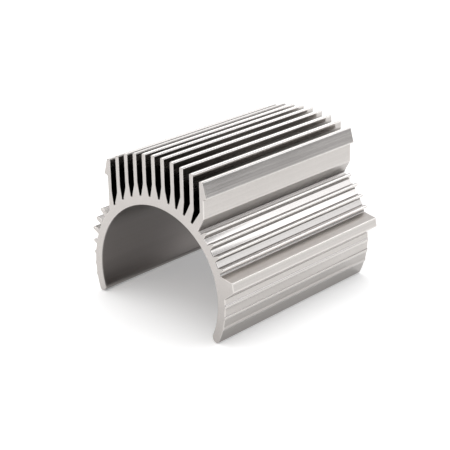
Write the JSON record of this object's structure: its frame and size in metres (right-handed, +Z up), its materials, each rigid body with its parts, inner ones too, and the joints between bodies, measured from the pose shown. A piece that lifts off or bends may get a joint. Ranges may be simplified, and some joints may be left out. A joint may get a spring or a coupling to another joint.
{
  "type": "motor heat sink",
  "caption": "Open extruded ring that clips round a cylindrical motor, with tall cooling fins on top, short ribs on its shoulders and a ledge on one side.",
  "frame": {"origin": "on the bore axis, at mid-length", "axes": "+Y along the bore, from the front end in the picture to the back end; +Z up, as the part stands on its two lips; +X towards the ledge"},
  "size_m": [0.0431, 0.051, 0.0378],
  "materials": {
    "heat_sink": "fine satin, natural aluminium, with faint extrusion lines along the length and saw-cut ends"
  },
  "bodies": {
    "root": {"heat_sink": "heat_sink"}
  },
  "joints": []
}
